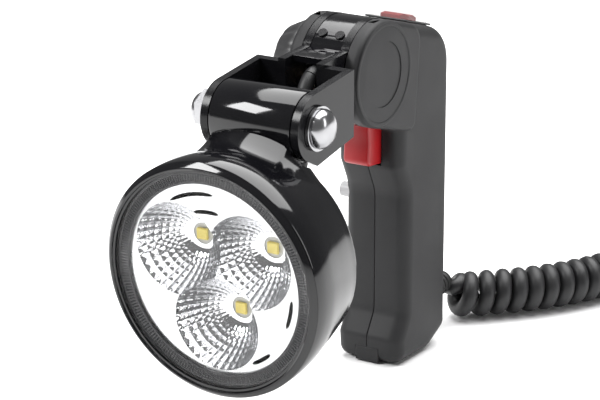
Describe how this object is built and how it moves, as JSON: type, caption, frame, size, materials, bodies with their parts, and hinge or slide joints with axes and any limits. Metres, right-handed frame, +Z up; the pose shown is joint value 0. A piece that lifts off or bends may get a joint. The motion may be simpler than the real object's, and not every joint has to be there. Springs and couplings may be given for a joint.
{
  "type": "hand-held search lamp",
  "caption": "Hand-held LED search lamp: a round black lamp head on a tilting yoke, a pistol grip with a red trigger, and a curly lead to a vehicle power plug.",
  "frame": {"origin": "on the resting surface under the middle of the lamp and handle, the supply lead left out", "axes": "+Z up along the grip, the beam leaves towards -Y, +X is the side without the clamp knob"},
  "size_m": [0.1023, 0.4649, 0.1364],
  "materials": {
    "black_gloss": "gloss black stove enamel",
    "cast_black": "satin black powder coat",
    "yoke_black": "semi-gloss black powder coat",
    "zinc": "bright zinc plate",
    "bronze": "plain sintered bronze",
    "lens_clear": "clear hardened cover lens",
    "black_rubber": "matte black rubber",
    "mask_black": "fine radial ribs, black",
    "reflector_chrome": "metallised plastic",
    "board_white": "white solder resist",
    "led_yellow": "phosphor dome",
    "board_green": "green solder resist",
    "shell_grey": "charcoal, fine grain",
    "knob_black": "satin black",
    "red": "bright red, semi-gloss",
    "boot_clear": "frosted clear silicone",
    "button_grey": "translucent white",
    "lead_black": "matte charcoal polyurethane jacket",
    "plug_black": "satin black",
    "contact": "nickel plate",
    "switch_black": "black moulding",
    "cream": "natural nylon"
  },
  "bodies": {
    "handle": {"shell_near": "shell_grey", "shell_far": "shell_grey", "shell_screws": "zinc", "pivot_sleeve": "zinc", "pivot_nut": "zinc", "trigger_spring": "zinc", "trigger_switch": "switch_black", "switch_frame": "switch_black", "switch_boot": "boot_clear", "lock_spring": "zinc", "terminal_block": "cream", "base_lug": "shell_grey", "lead_gland": "switch_black", "strain_relief": "black_rubber", "lead_start": "lead_black", "curly_lead": "lead_black", "lead_tail": "lead_black", "plug_body": "plug_black", "plug_cap": "plug_black", "plug_tip": "plug_black", "plug_contacts": "contact", "link_lead_rear": "lead_black"},
    "yoke": {"yoke_arm_near": "yoke_black", "yoke_arm_far": "yoke_black", "yoke_web": "black_gloss", "web_screws": "zinc", "tilt_bolt": "zinc", "dome_nut": "zinc", "bolt_washers": "zinc", "friction_discs": "bronze", "link_lead_front": "lead_black"},
    "head": {"head_housing": "black_gloss", "front_bezel": "black_gloss", "lens": "lens_clear", "lens_gasket": "black_rubber", "mask_ring": "mask_black", "reflector": "reflector_chrome", "led_board": "board_white", "leds": "led_yellow", "driver_board": "board_green", "rear_cover": "cast_black", "rear_seal": "black_rubber", "cover_screws": "zinc", "head_grommet": "black_rubber", "knuckle_bushes": "bronze"},
    "trigger": {"trigger": "red"},
    "rocker": {"rocker": "red"},
    "lock_button": {"lock_button": "button_grey"},
    "clamp": {"clamp_knob": "knob_black", "pivot_bolt": "zinc"}
  },
  "joints": [
    {"name": "yoke_tilt", "type": "hinge", "parent": "handle", "child": "yoke", "pos_m": [0, 0.0215, 0.1166], "axis": [1, 0, 0], "range_deg": [-60, 15], "deforming": ["link_lead_rear"]},
    {"name": "head_tilt", "type": "hinge", "parent": "yoke", "child": "head", "pos_m": [0, -0.032, 0.1105], "axis": [1, 0, 0], "range_deg": [-60, 20], "deforming": ["link_lead_front"]},
    {"name": "trigger_press", "type": "slide", "parent": "handle", "child": "trigger", "axis": [0, 1, 0], "range_m": [0, 0.004], "stiffness_N_per_m": 900, "springref_m": -0.003, "deforming": ["trigger_spring"]},
    {"name": "rocker_tilt", "type": "hinge", "parent": "handle", "child": "rocker", "pos_m": [0, 0.05542, 0.12628], "axis": [1, 0, 0], "range_deg": [-4, 4]},
    {"name": "lock_press", "type": "slide", "parent": "handle", "child": "lock_button", "axis": [1, 0, 0], "range_m": [0, 0.0025], "stiffness_N_per_m": 500, "springref_m": -0.002, "deforming": ["lock_spring"]},
    {"name": "clamp_turn", "type": "hinge", "parent": "handle", "child": "clamp", "pos_m": [0, 0.0215, 0.1166], "axis": [1, 0, 0], "range_deg": [0, 180]}
  ]
}
